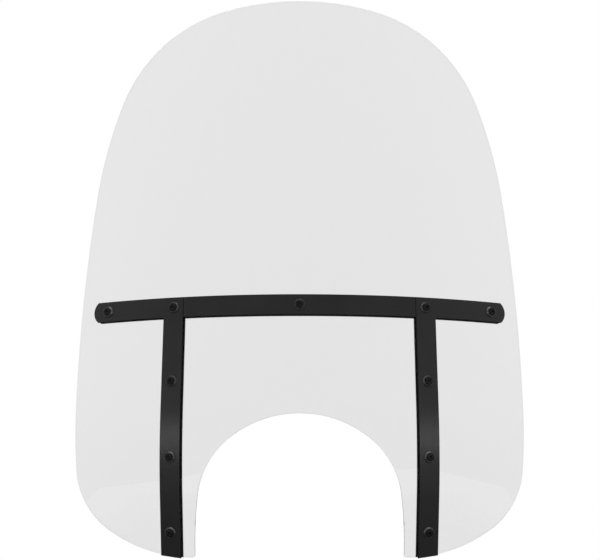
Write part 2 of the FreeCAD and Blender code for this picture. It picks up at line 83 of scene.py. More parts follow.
# places on the sheet: a path up its middle line from the bend, and an angle round its section
ARM_PATH = 175 * MM
TIP_ANGLE = math.radians(22.9)
LEG_ANGLE = math.radians(13.45)
TIP_SCREW_ANGLE = math.radians(21.14)
LEG_UPPER_PATH = 92.5 * MM
LEG_MIDDLE_PATH = 7.9 * MM
LEG_LOWER_PATH = -78.5 * MM


def middle_line(path):
    """The sheet's middle line: the point at a path from the bend's centre, and the lean there."""
    lean = min(max(path / BEND_RADIUS, -LOWER_LEAN), UPPER_LEAN)
    straight = path - BEND_RADIUS * lean
    along = Vector((0, math.sin(lean), math.cos(lean)))
    bend = Vector((0, BEND_RADIUS * (1 - math.cos(lean)), BEND_RADIUS * math.sin(lean)))
    return bend + along * straight, lean


def sheet_axes(path, angle):
    """(the section's centre, across, up, normal) at a place on the sheet."""
    point, lean = middle_line(path)
    up = Vector((0, math.sin(lean), math.cos(lean)))
    forward = Vector((0, -math.cos(lean), math.sin(lean)))
    normal = Vector((1, 0, 0)) * math.sin(angle) + forward * math.cos(angle)
    centre = point - forward * SECTION_RADIUS
    return centre, up.cross(normal), up, normal


def on_surface(path, angle, offset):
    """The point at a place on the sheet, at an offset in front of its middle."""
    centre, _, _, normal = sheet_axes(path, angle)
    return centre + normal * (SECTION_RADIUS + offset)


def stud_centre():
    """The middle of the four studs, where they leave the rear straps."""
    low, high = (on_surface(path, LEG_ANGLE, -STACK) for path in (LEG_LOWER_PATH, LEG_MIDDLE_PATH))
    middle = (low + high) / 2
    return Vector((0, middle.y, middle.z))


HOME = -stud_centre()


def place_at(path, angle):
    """A matrix whose Z points out of the front of the sheet, with zero in the sheet's middle."""
    centre, across, up, normal = sheet_axes(path, angle)
    turn = Matrix((across, up, normal)).transposed().to_4x4()
    return Matrix.Translation(centre + normal * SECTION_RADIUS + HOME) @ turn


def bend_strap(point):
    """Bend a flat point (distance round the section, depth, path) onto the sheet."""
    angle = point.x / SECTION_RADIUS
    normal = sheet_axes(point.z, angle)[3]
    return on_surface(point.z, angle, point.y) + HOME, normal


def bend_sheet(point):
    """Bend a flat point (X, depth, Z) onto the sheet without moving it in X or Z, so that the
    outline and the cutout keep their shape as seen from the front."""
    sine = point.x / (SECTION_RADIUS + point.y)
    angle = math.asin(sine)
    reach = BEND_RADIUS + (SECTION_RADIUS + point.y) * math.cos(angle) - SECTION_RADIUS
    top, bottom = reach * math.sin(UPPER_LEAN), -reach * math.sin(LOWER_LEAN)
    if point.z > top:
        path = BEND_RADIUS * UPPER_LEAN + (point.z - top) / math.cos(UPPER_LEAN)
    elif point.z < bottom:
        path = -BEND_RADIUS * LOWER_LEAN + (point.z - bottom) / math.cos(LOWER_LEAN)
    else:
        path = BEND_RADIUS * math.asin(point.z / reach)
    normal = sheet_axes(path, angle)[3]
    return on_surface(path, angle, point.y) + HOME, normal


# ---------------------------------------------------------------- flat outlines

# the longest chord of an outline's arc, and the most that one chord turns
ARC_STEP = 3.5 * MM
ARC_TURN = math.radians(12)
HOLE_SIDES = 24
CORNER_STEPS = 6

# radius, sweep in degrees, and 1 to turn in or -1 to turn out, from the top downwards
OUTLINE = [(352 * MM, 14.9, 1), (180 * MM, 55, 1), (505 * MM, 13.2, 1), (1836 * MM, 9.8, 1),
           (79 * MM, 55.7, 1), (166.6 * MM, 37.5, 1)]
OUTLINE_TOP = 533.1 * MM
CUTOUT = [(120.7 * MM, 38.8, 1), (94.4 * MM, 43.9, 1), (488 * MM, 8.1, 1), (3 * MM, 80, -1)]
CUTOUT_TOP = 55.5 * MM


def arc_chain(start, steps):
    """Points along tangent arcs that leave a point on the middle line to the right."""
    point, heading = Vector(start), 0.0
    points = [point.copy()]
    for radius, sweep, turn in steps:
        sweep = math.radians(sweep)
        count = math.ceil(max(radius * sweep / ARC_STEP, sweep / ARC_TURN))
        outward = Vector((math.sin(heading), math.cos(heading))) * turn
        centre = point - outward * radius
        for index in range(1, count + 1):
            now = heading + turn * sweep * index / count
            point = centre + Vector((math.sin(now), math.cos(now))) * turn * radius
            points.append(point.copy())
        heading += turn * sweep
    return points


def sheet_outline():
    """The windshield's closed outline, clockwise from the top."""
    inner = arc_chain((0, CUTOUT_TOP), CUTOUT)
    outer = [point for point in arc_chain((0, OUTLINE_TOP), OUTLINE)
             if point.y > 0 or point.x > inner[-1].x + ARC_STEP / 2]
    right = outer + inner[::-1]
    left = [Vector((-point.x, point.y)) for point in right[-2:0:-1]]
    return right + left


def circle(centre, radius):
    turns = [math.tau * index / HOLE_SIDES for index in range(HOLE_SIDES)]
    return [centre + Vector((math.cos(turn), math.sin(turn))) * radius for turn in turns]


def rounded_corner(before, corner, after, radius):
    """Points of the arc that rounds one corner of a polygon."""
    first, last = (before - corner).normalized(), (after - corner).normalized()
    half = first.angle(last) / 2
    reach = radius / math.tan(half)
    centre = corner + (first + last).normalized() * radius / math.sin(half)
    begin, end = corner + first * reach - centre, corner + last * reach - centre
    whole = begin.angle_signed(end)
    points = []
    for index in range(CORNER_STEPS + 1):
        turn = -whole * index / CORNER_STEPS
        points.append(centre + Matrix.Rotation(turn, 2) @ begin)
    return points


def rounded_polygon(corners):
    """A closed outline from (point, radius) corners; radius 0 leaves a corner sharp."""
    outline = []
    for index, (corner, radius) in enumerate(corners):
        before, after = corners[index - 1][0], corners[(index + 1) % len(corners)][0]
        outline += rounded_corner(before, corner, after, radius) if radius else [corner]
    return outline


# ---------------------------------------------------------------- flat plates

# A plate is cut on a grid of columns and rows before it's bent. Edges shorter than a sliver are
# then closed up, and places nearer than SAME_PLACE count as one.
COLUMN_STEP = 12 * MM
SLIVER = 0.02 * MM
SAME_PLACE = 0.001 * MM


def loop_normals(loop):
    """Each point's outward direction, for a clockwise outer loop or a hole the other way."""
    normals = []
    for index, point in enumerate(loop):
        along = (loop[(index + 1) % len(loop)] - loop[index - 1]).normalized()
        normals.append(Vector((-along.y, along.x)))
    return normals


def is_clockwise(loop):
    return sum(a.x * b.y - b.x * a.y for a, b in zip(loop, loop[1:] + loop[:1])) < 0


def edge_profile(low, high, radius, steps):
    """(outward shift, depth) from the front face's rim round the edge to the rear face's rim."""
    turns = [math.pi / 2 * index / steps for index in range(steps + 1)]
    front = [(radius * (math.sin(turn) - 1), high + radius * (math.cos(turn) - 1)) for turn in turns]
    rear = [(shift, low + high - depth) for shift, depth in reversed(front)]
    return front + rear


def flat_plate(outer, holes, low, high, radius, steps):
    """A flat plate with rounded outer edges, in (x, depth, z), from its outline and holes."""
    mesh = bmesh.new()
    rims = []
    for number, loop in enumerate([outer] + holes):
        if is_clockwise(loop) != (number == 0):
            loop = loop[::-1]
        profile = edge_profile(low, high, radius, steps) if number == 0 else [(0, high), (0, low)]
        normals = loop_normals(loop)
        rings = [[mesh.verts.new((point.x + normal.x * shift, depth, point.y + normal.y * shift))
                  for point, normal in zip(loop, normals)] for shift, depth in profile]
        for ring, following in zip(rings, rings[1:]):
            for index in range(len(loop)):
                after = (index + 1) % len(loop)
                side = mesh.faces.new((ring[index], ring[after], following[after],
                                       following[index]))
                side.material_index = 1
        rims.append((rings[0], rings[-1]))
    for side in (0, 1):
        loops = [rim[side] for rim in rims]
        flat = [[Vector((vertex.co.x, vertex.co.z, 0)) for vertex in loop] for loop in loops]
        vertices = [vertex for loop in loops for vertex in loop]
        for triangle in tessellate_polygon(flat):
            mesh.faces.new([vertices[index] for index in triangle])
    bmesh.ops.recalc_face_normals(mesh, faces=mesh.faces[:])
    return mesh


def slice_plate(mesh, axis, cuts):
    """Cut every face where it crosses a plane square to an axis, so that the plate can bend."""
    normal = Vector((axis == "x", 0, axis == "z"))
    for cut in cuts:
        geometry = mesh.verts[:] + mesh.edges[:] + mesh.faces[:]
        bmesh.ops.bisect_plane(mesh, geom=geometry, dist=SAME_PLACE, plane_co=normal * cut,
                               plane_no=normal)


def join_cells(mesh, columns, rows, low, high, holes):
    """Join the triangles of the front and rear face into one face for each cell of the grid,
    except where a hole breaks the cell."""
    broken = {(bisect(columns, point.x), bisect(rows, point.y)) for hole in holes for point in hole}
    cells = {}
    for face in mesh.faces:
        centre = face.calc_center_median()
        flat = abs(centre.y - low) < SAME_PLACE or abs(centre.y - high) < SAME_PLACE
        cell = (bisect(columns, centre.x), bisect(rows, centre.z))
        if flat and cell not in broken:
            cells.setdefault((centre.y > (low + high) / 2, *cell), []).append(face)
    for faces in cells.values():
        if len(faces) > 1:
            bmesh.utils.face_join(faces)
    spare = [vertex for vertex in mesh.verts if len(vertex.link_edges) == 2]
    bmesh.ops.dissolve_verts(mesh, verts=spare)
    bmesh.ops.dissolve_degenerate(mesh, edges=mesh.edges[:], dist=SLIVER)


def spread(low, high, step):
    """Evenly spaced cuts between two ends, about a step apart, without the ends."""
    count = max(2, math.ceil((high - low) / step))
    return [low + (high - low) * index / count for index in range(1, count)]


def bent_piece(name, mesh, bend, low, high, material, edge_material):
    """Bend a flat plate and make it an object whose faces shade as the true surface does."""
    normals = []
    for vertex in mesh.verts:
        depth = vertex.co.y
        place, normal = bend(vertex.co)
        vertex.co = place
        if abs(depth - high) < SAME_PLACE:
            normals.append(normal)
        elif abs(depth - low) < SAME_PLACE:
            normals.append(-normal)
        else:
            normals.append(Vector((0, 0, 0)))
    if mesh.calc_volume(signed=True) < 0:
        bmesh.ops.reverse_faces(mesh, faces=mesh.faces[:])
    data = bpy.data.meshes.new(name)
    mesh.to_mesh(data)
    mesh.free()
    data.shade_smooth()
    data.normals_split_custom_set_from_vertices(normals)
    return add_piece(name, data, material, edge_material)


def add_piece(name, data, *materials):
    """An object with its materials, which moves with the part's one body."""
    piece = bpy.data.objects.new(name, data)
    bpy.context.scene.collection.objects.link(piece)
    for material in materials:
        data.materials.append(material)
    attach(piece, "root")
    return piece


# ---------------------------------------------------------------- materials

# the parts of a noise's range over which values and colours change
NOISE_SPAN = 0.3, 0.7
COLOUR_SPAN = 0.35, 0.65


def new_material(name):
    """(material, its nodes, its links, its main shader)"""
    material = bpy.data.materials.new(name)
    material.use_nodes = True
    nodes = material.node_tree.nodes
    return material, nodes, material.node_tree.links, nodes["Principled BSDF"]


def add_noise(nodes, links, scale, detail):
    """Noise in the object's own coordinates, so that it's fixed to the piece."""
    place = nodes.new("ShaderNodeTexCoord")
    noise = nodes.new("ShaderNodeTexNoise")
    noise.inputs["Scale"].default_value = scale
    noise.inputs["Detail"].default_value = detail
    links.new(place.outputs["Object"], noise.inputs["Vector"])
    return noise.outputs["Fac"]


def map_range(nodes, links, source, first, last):
    """Map a socket from one (value, result) pair to another, in a straight line."""
    span = nodes.new("ShaderNodeMapRange")
    for end, (value, result) in (("Min", first), ("Max", last)):
        span.inputs["From " + end].default_value = value
        span.inputs["To " + end].default_value = result
    links.new(source, span.inputs["Value"])
    return span.outputs["Result"]


def spread_value(nodes, links, noise, low, high):
    """A value that follows a noise between two levels."""
    noise_low, noise_high = NOISE_SPAN
    return map_range(nodes, links, noise, (noise_low, low), (noise_high, high))


def mix_colours(nodes, links, noise, first, second):
    """A colour that follows a noise between two colours."""
    ramp = nodes.new("ShaderNodeValToRGB")
    for stop, position, colour in zip(ramp.color_ramp.elements, COLOUR_SPAN, (first, second)):
        stop.position = position
        stop.color = (*colour, 1)
    links.new(noise, ramp.inputs["Fac"])
    return ramp.outputs["Color"]


def add_bump(nodes, links, height, strength, distance, before=None):
    """A bump's normal from a height, on top of an earlier bump if there is one."""
    bump = nodes.new("ShaderNodeBump")
    bump.inputs["Strength"].default_value = strength
    bump.inputs["Distance"].default_value = distance
    links.new(height, bump.inputs["Height"])
    if before is not None:
        links.new(before, bump.inputs["Normal"])
    return bump.outputs["Normal"]


def mix_shaders(nodes, links, factor, first, second):
    """The first shader where a factor is 0, and the second where it's 1."""
    mix = nodes.new("ShaderNodeMixShader")
    links.new(factor, mix.inputs["Fac"])
    links.new(first, mix.inputs[1])
    links.new(second, mix.inputs[2])
    return mix.outputs["Shader"]


def clear_plastic():
    """Clear sheet with a slight grey tint, a faint haze and the gentle waves of drawn plastic. Its
    shadow is pale, as light goes through it."""
    material, nodes, links, shader = new_material("clear_polycarbonate")
    shader.inputs["Base Color"].default_value = (0.79, 0.791, 0.789, 1)
    shader.inputs["Transmission Weight"].default_value = 1.0
    shader.inputs["IOR"].default_value = 1.49
    haze = add_noise(nodes, links, scale=9, detail=5)
    links.new(spread_value(nodes, links, haze, 0, 0.025), shader.inputs["Roughness"])
    drawn = add_noise(nodes, links, scale=7, detail=1)
    waves = add_bump(nodes, links, drawn, strength=0.04, distance=0.004)
    links.new(waves, shader.inputs["Normal"])
    shade = nodes.new("ShaderNodeBsdfTransparent")
    shade.inputs["Color"].default_value = (0.84, 0.845, 0.845, 1)
    path = nodes.new("ShaderNodeLightPath")
    sheet = mix_shaders(nodes, links, path.outputs["Is Shadow Ray"], shader.outputs["BSDF"],
                        shade.outputs["BSDF"])
    links.new(sheet, nodes["Material Output"].inputs["Surface"])
    return material


def powder_coat():
    """Satin black powder coat: a fine orange peel, and patches that shine a little less."""
    material, nodes, links, shader = new_material("satin_black_powder_coat")
    speckle = add_noise(nodes, links, scale=900, detail=3)
    tone = mix_colours(nodes, links, speckle, (0.0055, 0.0055, 0.0057), (0.0085, 0.0085, 0.0088))
    links.new(tone, shader.inputs["Base Color"])
    patches = add_noise(nodes, links, scale=45, detail=5)
    links.new(spread_value(nodes, links, patches, 0.31, 0.37), shader.inputs["Roughness"])
    shader.inputs["IOR"].default_value = 1.5
    shader.inputs["Specular IOR Level"].default_value = 0.32
    fine, broad = (add_noise(nodes, links, scale=scale, detail=2) for scale in (700, 60))
    peel = add_bump(nodes, links, fine, strength=0.1, distance=0.0002)
    waves = add_bump(nodes, links, broad, strength=0.04, distance=0.001, before=peel)
    links.new(waves, shader.inputs["Normal"])
    return material


def shaded_coat_edge():
    """A darker, duller copy of the coat for the bars' sides: painted shade, so that the sides read
    dark as shaded edges do.
    """
    material, nodes, links, shader = new_material("black_coat_painted_shade_edge")
    grain = add_noise(nodes, links, scale=1400, detail=4)
    tone = mix_colours(nodes, links, grain, (0.0025, 0.0025, 0.0026), (0.005, 0.005, 0.0052))
    links.new(tone, shader.inputs["Base Color"])
    links.new(spread_value(nodes, links, grain, 0.6, 0.8), shader.inputs["Roughness"])
    shader.inputs["Specular IOR Level"].default_value = 0.05
    bump = add_bump(nodes, links, grain, strength=0.15, distance=0.0001)
    links.new(bump, shader.inputs["Normal"])
    return material


def black_steel(name, low, high, dark, shine):
    """Blackened steel: its lowest and highest roughness, its darkest tone and its shine."""
    material, nodes, links, shader = new_material(name)
    grain = add_noise(nodes, links, scale=1500, detail=3)
    tone = mix_colours(nodes, links, grain, (dark, dark, dark), (dark * 1.8, dark * 1.8, dark * 1.9))
    links.new(tone, shader.inputs["Base Color"])
    shader.inputs["Specular IOR Level"].default_value = shine
    patches = add_noise(nodes, links, scale=350, detail=4)
    links.new(spread_value(nodes, links, patches, low, high), shader.inputs["Roughness"])
    bump = add_bump(nodes, links, grain, strength=0.05, distance=0.0001)
    links.new(bump, shader.inputs["Normal"])
    return material


def seal_rubber():
    """Dull black rubber for the gaskets."""
    material, nodes, links, shader = new_material("black_seal_rubber")
    grain = add_noise(nodes, links, scale=2200, detail=4)
    tone = mix_colours(nodes, links, grain, (0.003, 0.003, 0.003), (0.007, 0.007, 0.007))
    links.new(tone, shader.inputs["Base Color"])
    shader.inputs["Specular IOR Level"].default_value = 0.1
    links.new(spread_value(nodes, links, grain, 0.7, 0.9), shader.inputs["Roughness"])
    bump = add_bump(nodes, links, grain, strength=0.25, distance=0.0001)
    links.new(bump, shader.inputs["Normal"])
    return material


def black_nylon():
    """Black nylon for the bushings in the sheet's holes."""
    material, nodes, links, shader = new_material("black_nylon")
    flow = add_noise(nodes, links, scale=1200, detail=4)
    tone = mix_colours(nodes, links, flow, (0.009, 0.009, 0.009), (0.016, 0.016, 0.016))
    links.new(tone, shader.inputs["Base Color"])
    links.new(spread_value(nodes, links, flow, 0.45, 0.6), shader.inputs["Roughness"])
    bump = add_bump(nodes, links, flow, strength=0.1, distance=0.0001)
    links.new(bump, shader.inputs["Normal"])
    return material


CLEAR, COAT, SHADED_COAT_EDGE = clear_plastic(), powder_coat(), shaded_coat_edge()
RUBBER, NYLON = seal_rubber(), black_nylon()
# The screws' steel is darker and duller than the washers': partly its own black finish, partly
# painted shade of heads sunk in their cups.
SCREW_STEEL = black_steel("black_screw_steel", low=0.42, high=0.55, dark=0.0025, shine=0.14)
WASHER_STEEL = black_steel("black_washer_steel", low=0.26, high=0.34, dark=0.008, shine=0.7)

# ---------------------------------------------------------------- screw places

# name, path, angle on the right-hand side, and whether it's a mounting stud
SCREWS = [("corner", ARM_PATH, LEG_ANGLE, False), ("tip", ARM_PATH, TIP_SCREW_ANGLE, False),
          ("leg_upper", LEG_UPPER_PATH, LEG_ANGLE, False),
          ("leg_middle", LEG_MIDDLE_PATH, LEG_ANGLE, True),
          ("leg_lower", LEG_LOWER_PATH, LEG_ANGLE, True)]


def screw_places():
    """(name, path, angle, stud?) for all eleven screws."""
    places = [("center", ARM_PATH, 0.0, False)]
    for side, side_name in ((-1, "left"), (1, "right")):
        places += [(f"{name}_{side_name}", path, side * angle, stud)
                   for name, path, angle, stud in SCREWS]
    return places


PLACES = screw_places()

# ---------------------------------------------------------------- the clear sheet

EDGE_ROUND = 1.7 * MM
EDGE_STEPS = 5
SHEET_HOLE = 4.75 * MM
# the rows of the sheet's grid are closest from BEND_LOW to BEND_HIGH, over the bend
BEND_LOW, BEND_HIGH = -46 * MM, 70 * MM
ROW_STEP_BELOW, ROW_STEP_BEND, ROW_STEP_ABOVE = 20 * MM, 5 * MM, 40 * MM


def add_windshield():
    """The clear sheet, with a rounded edge and a hole for each screw."""
    holes = []
    for _, path, angle, _ in PLACES:
        spot = on_surface(path, angle, 0)
        holes.append(circle(Vector((spot.x, spot.z)), SHEET_HOLE))
    plate = flat_plate(sheet_outline(), holes, -FACE, FACE, EDGE_ROUND, EDGE_STEPS)
    low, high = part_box("windshield")
    columns = spread(low.x, high.x, COLUMN_STEP)
    base, top = low.z - HOME.z, high.z - HOME.z
    rows = [*spread(base, BEND_LOW, ROW_STEP_BELOW), BEND_LOW,
            *spread(BEND_LOW, BEND_HIGH, ROW_STEP_BEND), BEND_HIGH,
            *spread(BEND_HIGH, top, ROW_STEP_ABOVE)]
    slice_plate(plate, "x", columns)
    slice_plate(plate, "z", rows)
    join_cells(plate, columns, rows, -FACE, FACE, holes)
    piece = bent_piece("windshield_sheet", plate, bend_sheet, -FACE, FACE, CLEAR, CLEAR)
    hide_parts("windshield")
    return piece


clear_sheet = add_windshield()

# ---------------------------------------------------------------- straps and gaskets

TIP_RADIUS = 15 * MM
TIP_STEPS = 8
STRAP_HOLE = 2.8 * MM
SEAM_GAP = 0.3 * MM
TIP_SOFTENING = 1.5 * MM
INNER_CORNER = 1.5 * MM
# an edge's rounding, and the most that it may be as a share of the thickness
STRAP_ROUND = 0.4 * MM
MOST_ROUND = 0.4
STRAP_EDGE_STEPS = 3
PATH_STEP = 5 * MM


def tip_outline(half_width):
    """The crossbar's rounded end, from its upper edge round to its lower edge."""
    middle = TIP_ANGLE * SECTION_RADIUS - TIP_RADIUS
    limit = math.asin(half_width / TIP_RADIUS)
    turns = [limit * (1 - index / TIP_STEPS) for index in range(2 * TIP_STEPS + 1)]
    return [Vector((middle + TIP_RADIUS * math.cos(turn), ARM_PATH + TIP_RADIUS * math.sin(turn)))
            for turn in turns]


def bottom_edge(angle, depth):
    """The path at which an upright meets the sheet's bottom edge."""
    x = (SECTION_RADIUS + depth) * math.sin(angle)
    outline = [point for point in arc_chain((0, OUTLINE_TOP), OUTLINE) if point.y < 0]
    after = next(index for index, point in enumerate(outline) if point.x < x)
    first, second = outline[after - 1], outline[after]
    share = (first.x - x) / (first.x - second.x)
    height = first.y + (second.y - first.y) * share
    lean = LOWER_LEAN
    reach = BEND_RADIUS + (SECTION_RADIUS + depth) * math.cos(angle) - SECTION_RADIUS
    return -BEND_RADIUS * lean + (height + reach * math.sin(lean)) / math.cos(lean)


def side_outline(width, depth):
    """One upright and the crossbar's outer end, on the right, as (arc length, path)."""
    half = width / 2
    leg = LEG_ANGLE * SECTION_RADIUS
    top, under = ARM_PATH + half, ARM_PATH - half
    foot_in, foot_out = (bottom_edge((leg + side * half) / SECTION_RADIUS, depth)
                         for side in (-1, 1))
    tip = tip_outline(half)
    corners = [(Vector((leg - half, top)), 0), (tip[0], TIP_SOFTENING)]
    corners += [(point, 0) for point in tip[1:-1]]
    corners += [(tip[-1], TIP_SOFTENING), (Vector((leg + half, under)), INNER_CORNER),
                (Vector((leg + half, foot_out)), 0), (Vector((leg - half, foot_in)), 0)]
    return rounded_polygon(corners)


def middle_outline(width):
    """The crossbar's middle strap, between the two side straps."""
    half = width / 2
    end = LEG_ANGLE * SECTION_RADIUS - STRAP_WIDTH / 2 - SEAM_GAP
    return [Vector((-end, ARM_PATH + half)), Vector((end, ARM_PATH + half)),
            Vector((end, ARM_PATH - half)), Vector((-end, ARM_PATH - half))]


def add_layer(name, outline, holes, low, high, radius, material):
    """A strap or gasket between two depths, from its flat outline."""
    plate = flat_plate(outline, holes, low, high, radius, STRAP_EDGE_STEPS)
    xs, paths = [point.x for point in outline], [point.y for point in outline]
    columns = spread(min(xs), max(xs), COLUMN_STEP)
    rows = spread(min(paths), max(paths), PATH_STEP)
    slice_plate(plate, "x", columns)
    slice_plate(plate, "z", rows)
    join_cells(plate, columns, rows, low, high, holes)
    # the sides of a coated strap take the darker, duller copy of the coat: painted shade
    edge = SHADED_COAT_EDGE if material is COAT else material
    piece = bent_piece(name + "_bar", plate, bend_strap, low, high, material, edge)
    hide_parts(name)


def add_straps():
    """Three straps and three gaskets on each face of the sheet."""
    layers = [("front_gasket", FACE, SEAM_FACE, GASKET_WIDTH, RUBBER, "gasket_rubber"),
              ("front_strap", SEAM_FACE, STACK, STRAP_WIDTH, COAT, "black_strap"),
              ("rear_gasket", -SEAM_FACE, -FACE, GASKET_WIDTH, RUBBER, "gasket_rubber"),
              ("rear_strap", -STACK, -SEAM_FACE, STRAP_WIDTH, COAT, "black_strap")]
    for name, low, high, width, material, slot in layers:
        radius = min(STRAP_ROUND, (high - low) * MOST_ROUND)
        for side, side_name in ((-1, "left"), (0, "center"), (1, "right")):
            if side:
                outline = [Vector((side * point.x, point.y))
                           for point in side_outline(width, (low + high) / 2)]
                spots = [(side * angle, path) for _, path, angle, _ in SCREWS]
            else:
                outline, spots = middle_outline(width), [(0.0, ARM_PATH)]
            holes = [circle(Vector((angle * SECTION_RADIUS, path)), STRAP_HOLE)
                     for angle, path in spots]
            add_layer(f"{name}_{side_name}", outline, holes, low, high, radius, material)


add_straps()

# ---------------------------------------------------------------- fasteners

SIDES = 48
BEVEL_ANGLE = math.radians(35)
BEVEL_STEPS = 2

CUP_BORE = 2.6 * MM
CUP_FLOOR = 0.8 * MM
CUP_FOOT_RADIUS = 6.4 * MM
CUP_FOOT_HEIGHT = 0.5 * MM
CUP_RIM_RADIUS = 5.2 * MM
CUP_WELL_RADIUS = 4.7 * MM
CUP_HEIGHT = 2.2 * MM
CUP_BEVEL = 0.15 * MM

HEAD_SEAT = STACK + CUP_FLOOR
HEAD_HEIGHT = 2.6 * MM
HEAD_RADIUS = 4.25 * MM
HEAD_WALL = 0.55  # share of the head's height that is straight
HEAD_ROUND = 1.2 * MM
HEAD_STEPS = 6
HEAD_BEVEL = 0.08 * MM
SOCKET_FLATS = 3 * MM
SOCKET_DEPTH = 1.7 * MM
SOCKET_CHAMFER = 0.25 * MM
SOCKET_POINT_RADIUS = 0.4 * MM
SOCKET_POINT_DEPTH = 0.5 * MM

STUD_RADIUS = 2.5 * MM
CORE_RADIUS = 2.25 * MM
ROOT_RADIUS = 2.05 * MM
PITCH = 0.8 * MM
THREAD_STEPS = 8
THREAD_TAPER = 0.3 * MM
FLANK_SLOPE = 1.6  # of a ridge, against a triangle as wide as the pitch
FLANK_START = 0.3  # how far the triangle's foot is sunk, which leaves a flat root
STUD_LENGTH = 26 * MM
SHORT_LENGTH = 17 * MM

REAR_GAP = 0.1 * MM
WASHER = 1 * MM
WASHER_BORE = 2.65 * MM
WASHER_RADIUS = 5 * MM
WASHER_BEVEL = 0.12 * MM
NUT_FACE = STACK + REAR_GAP + WASHER
NUT_FLATS = 8 * MM
NUT_BORE = 2.3 * MM
NUT_BEVEL = 0.1 * MM
NUT_LIP = 0.01 * MM  # the face is this much lower at the bore
NUT_BORE_CHAMFER = 0.4 * MM
CHAMFER_ANGLE = math.radians(30)
FACE_SHARE = 0.49  # radius of a nut's flat face as a share of its width across flats
THIN_NUT = 2.7 * MM
CAP_HEX = 4 * MM
CAP_HEIGHT = 9 * MM
CAP_BORE_DEPTH = 7 * MM
DOME_RADIUS = 3.75 * MM
DOME_STEPS = 12
DOME_POLE = 0.2 * MM


def hexagon(flats):
    """A function that gives a hexagon's radius at each turn."""
    return lambda turn: flats / 2 / math.cos((turn + math.pi / 6) % (math.pi / 3) - math.pi / 6)


def ring_stack(name, rings, place, material, bevel, closed=False):
    """A solid round its own Z axis from (radius, height) rings, each a number or a function of the
    turn. A closed stack joins its last ring to its first; an open one is capped at both ends."""
    mesh = bmesh.new()
    loops = []
    for radius, height in rings:
        loop = []
        for index in range(SIDES):
            turn = math.tau * index / SIDES
            out = radius(turn) if callable(radius) else radius
            level = height(turn) if callable(height) else height
            loop.append(mesh.verts.new((out * math.cos(turn), out * math.sin(turn), level)))
        loops.append(loop)
    pairs = list(zip(loops, loops[1:])) + ([(loops[-1], loops[0])] if closed else [])
    for lower, upper in pairs:
        for index in range(SIDES):
            after = (index + 1) % SIDES
            mesh.faces.new((lower[index], lower[after], upper[after], upper[index]))
    if not closed:
        mesh.faces.new(loops[0][::-1])
        mesh.faces.new(loops[-1])
    bmesh.ops.recalc_face_normals(mesh, faces=mesh.faces[:])
    mesh.transform(place)
    data = bpy.data.meshes.new(name)
    mesh.to_mesh(data)
    mesh.free()
    data.shade_smooth()
    piece = add_piece(name, data, material)
    modifier = piece.modifiers.new("soft_edges", "BEVEL")
    modifier.width = bevel
    modifier.segments = BEVEL_STEPS
    modifier.limit_method = "ANGLE"
    modifier.angle_limit = BEVEL_ANGLE
    modifier.harden_normals = True
    return piece


def thread_rings(bottom, top):
    """Rings of a stud's helical thread between two heights, tapered at its free end."""
    rings = []
    count = round((top - bottom) / PITCH * THREAD_STEPS)
    for index in range(count + 1):
        level = bottom + (top - bottom) * index / count
        limit = ROOT_RADIUS - THREAD_TAPER + level - bottom

        def out(turn, level=level, limit=limit):
            phase = (level / PITCH - turn / math.tau) % 1
            flank = min(max(FLANK_SLOPE * (1 - abs(2 * phase - 1)) - FLANK_START, 0), 1)
            return min(ROOT_RADIUS + (STUD_RADIUS - ROOT_RADIUS) * flank, limit)

        rings.append((out, level))
    return rings


def add_screw(name, place, stud):
    """A button head screw with a hexagon socket. A stud is longer, and threaded past its nut."""
    top = HEAD_SEAT + HEAD_HEIGHT
    floor = top - SOCKET_DEPTH
    socket = hexagon(SOCKET_FLATS)
    tip = HEAD_SEAT - (STUD_LENGTH if stud else SHORT_LENGTH)
    if stud:
        covered = -NUT_FACE - THIN_NUT - REAR_GAP
        rings = [*thread_rings(tip, covered - THREAD_TAPER), (CORE_RADIUS, covered)]
    else:
        rings = [(CORE_RADIUS - THREAD_TAPER, tip), (CORE_RADIUS, tip + THREAD_TAPER)]
    rings += [(CORE_RADIUS, HEAD_SEAT), (HEAD_RADIUS, HEAD_SEAT),
              (HEAD_RADIUS, HEAD_SEAT + HEAD_WALL * HEAD_HEIGHT)]
    for index in range(1, HEAD_STEPS + 1):
        turn = math.pi / 2 * index / HEAD_STEPS
        share = HEAD_WALL + (1 - HEAD_WALL) * math.sin(turn)
        rings.append((HEAD_RADIUS - HEAD_ROUND * (1 - math.cos(turn)),
                      HEAD_SEAT + HEAD_HEIGHT * share))
    rings += [(lambda turn: socket(turn) + SOCKET_CHAMFER, top), (socket, top - SOCKET_CHAMFER),
              (socket, floor), (SOCKET_POINT_RADIUS, floor - SOCKET_POINT_DEPTH)]
    piece = ring_stack(f"screw_{name}_turned", rings, place, SCREW_STEEL, HEAD_BEVEL)
    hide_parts(f"screw_{name}")


def add_cup_washer(name, place):
    """The raised ring round a screw's head."""
    rings = [(CUP_BORE, STACK), (CUP_FOOT_RADIUS, STACK),
             (CUP_FOOT_RADIUS, STACK + CUP_FOOT_HEIGHT), (CUP_RIM_RADIUS, STACK + CUP_HEIGHT),
             (CUP_WELL_RADIUS, STACK + CUP_HEIGHT), (CUP_WELL_RADIUS, HEAD_SEAT),
             (CUP_BORE, HEAD_SEAT)]
    piece = ring_stack(f"cup_washer_{name}_turned", rings, place, WASHER_STEEL, CUP_BEVEL,
                       closed=True)
    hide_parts(f"cup_washer_{name}")


def chamfered(level, direction):
    """The height of a nut's edge at each turn: its corners are cut back at an angle."""
    corner = hexagon(NUT_FLATS)
    slope = direction * math.tan(CHAMFER_ANGLE)
    return lambda turn: level + slope * (corner(turn) - NUT_FLATS * FACE_SHARE)


def nut_body(height):
    """The rings of a nut's hexagon, from its bore out over its wall and in to its outer face."""
    base, outer = -NUT_FACE, -NUT_FACE - height
    wall = hexagon(NUT_FLATS)
    face = NUT_FLATS * FACE_SHARE
    return [(NUT_BORE, base - NUT_LIP), (face, base), (wall, chamfered(base, -1)),
            (wall, chamfered(outer, 1)), (face, outer)]


